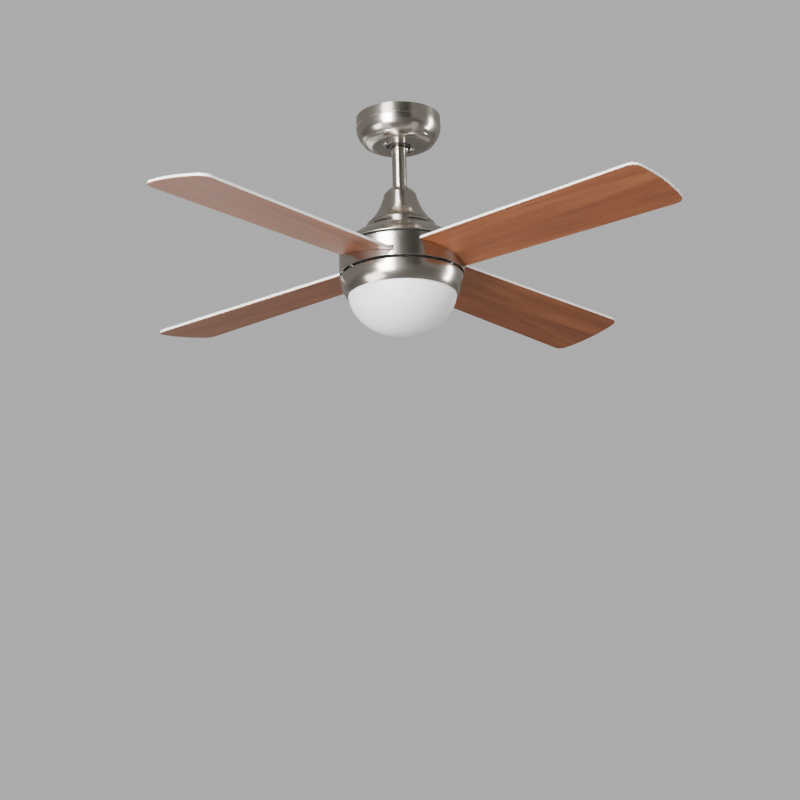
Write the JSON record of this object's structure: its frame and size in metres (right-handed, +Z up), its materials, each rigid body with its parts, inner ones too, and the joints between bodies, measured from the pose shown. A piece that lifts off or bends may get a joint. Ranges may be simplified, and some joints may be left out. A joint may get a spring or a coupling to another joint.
{
  "type": "ceiling fan with light",
  "caption": "Ceiling fan on a short downrod with pitched blades in a rotating band, ball-and-seat hanger, cup canopy and an opal glass light bowl below.",
  "frame": {"origin": "centre of the ceiling face, between the two slots of the ceiling bracket", "axes": "+Z up into the ceiling along the downrod, X along the ceiling bracket's slots"},
  "size_m": [0.8778, 0.8778, 0.3895],
  "materials": {
    "nickel": "satin brushed nickel",
    "zinc": "bright zinc plate",
    "black_enamel": "black enamel",
    "cast_alloy": "as cast",
    "lamination_steel": "stamped sheets",
    "bearing_steel": "ground",
    "copper": "enamelled copper wire",
    "dark_nylon": "moulded nylon",
    "black_plastic": "fine grain",
    "white_plastic": "ceramic white",
    "circuit_board": "green board",
    "lead_insulation": "smooth sleeve",
    "white_board": "white painted fibre board",
    "wood_laminate": "walnut grain, satin",
    "opal_glass": "opal white, smooth",
    "bulb_glass": "frosted",
    "bulb_cap": "rolled thread"
  },
  "bodies": {
    "ceiling": {"ceiling_bracket": "black_enamel", "canopy": "nickel", "canopy_screws": "nickel", "receiver_case": "black_plastic", "receiver_cover": "black_plastic", "receiver_board": "circuit_board", "terminal_block": "white_plastic", "terminal_screws": "zinc", "earth_screw": "zinc", "supply_lead": "lead_insulation"},
    "swivel": {"swivel_key": "black_enamel"},
    "hanger": {"hanger_ball": "dark_nylon", "ball_pin": "zinc", "downrod": "nickel", "set_screws": "zinc", "motor_coupling": "cast_alloy", "clevis_pin": "zinc", "hairpin_clip": "zinc", "motor_cover": "nickel", "cover_screws": "zinc", "motor_shaft": "bearing_steel", "stator_core": "lamination_steel", "stator_windings": "copper", "bearing_inner_rings": "bearing_steel", "bearing_balls": "bearing_steel", "motor_lead": "lead_insulation", "lamp_leads": "lead_insulation", "lamp_plate": "zinc", "shaft_nut": "zinc", "lamp_housing": "nickel", "housing_screws": "zinc", "shade_keeper": "zinc", "lamp_holders": "white_plastic", "holder_screws": "zinc", "bulb_caps": "bulb_cap", "bulb_globes": "bulb_glass", "capacitor": "black_plastic"},
    "cover": {"cone_cover": "nickel"},
    "rotor": {"rotor_upper_cover": "cast_alloy", "rotor_lower_cover": "cast_alloy", "rotor_ring": "lamination_steel", "rotor_screws": "zinc", "bearing_outer_rings": "bearing_steel", "blade_band": "nickel", "band_brackets": "zinc", "blade_1": "white_board", "blade_laminate_1": "wood_laminate", "blade_2": "white_board", "blade_laminate_2": "wood_laminate", "blade_3": "white_board", "blade_laminate_3": "wood_laminate", "blade_4": "white_board", "blade_laminate_4": "wood_laminate", "blade_irons": "zinc", "iron_screws": "zinc", "blade_screws": "zinc"},
    "shade": {"shade_ring": "zinc", "glass_shade": "opal_glass"}
  },
  "joints": [
    {"name": "swing_x", "type": "hinge", "parent": "ceiling", "child": "swivel", "pos_m": [0, 0, -0.03658], "axis": [1, 0, 0], "range_deg": [-15, 15]},
    {"name": "swing_y", "type": "hinge", "parent": "swivel", "child": "hanger", "pos_m": [0, 0, -0.03658], "axis": [0, 1, 0], "range_deg": [-15, 15]},
    {"name": "cover_lift", "type": "slide", "parent": "hanger", "child": "cover", "axis": [0, 0, 1], "range_m": [0, 0.045]},
    {"name": "rotor_spin", "type": "hinge", "parent": "hanger", "child": "rotor", "pos_m": [0, 0, -0.25], "axis": [0, 0, 1], "continuous": true},
    {"name": "shade_twist", "type": "hinge", "parent": "hanger", "child": "shade", "pos_m": [0, 0, -0.314], "axis": [0, 0, 1], "range_deg": [0, 30]}
  ]
}
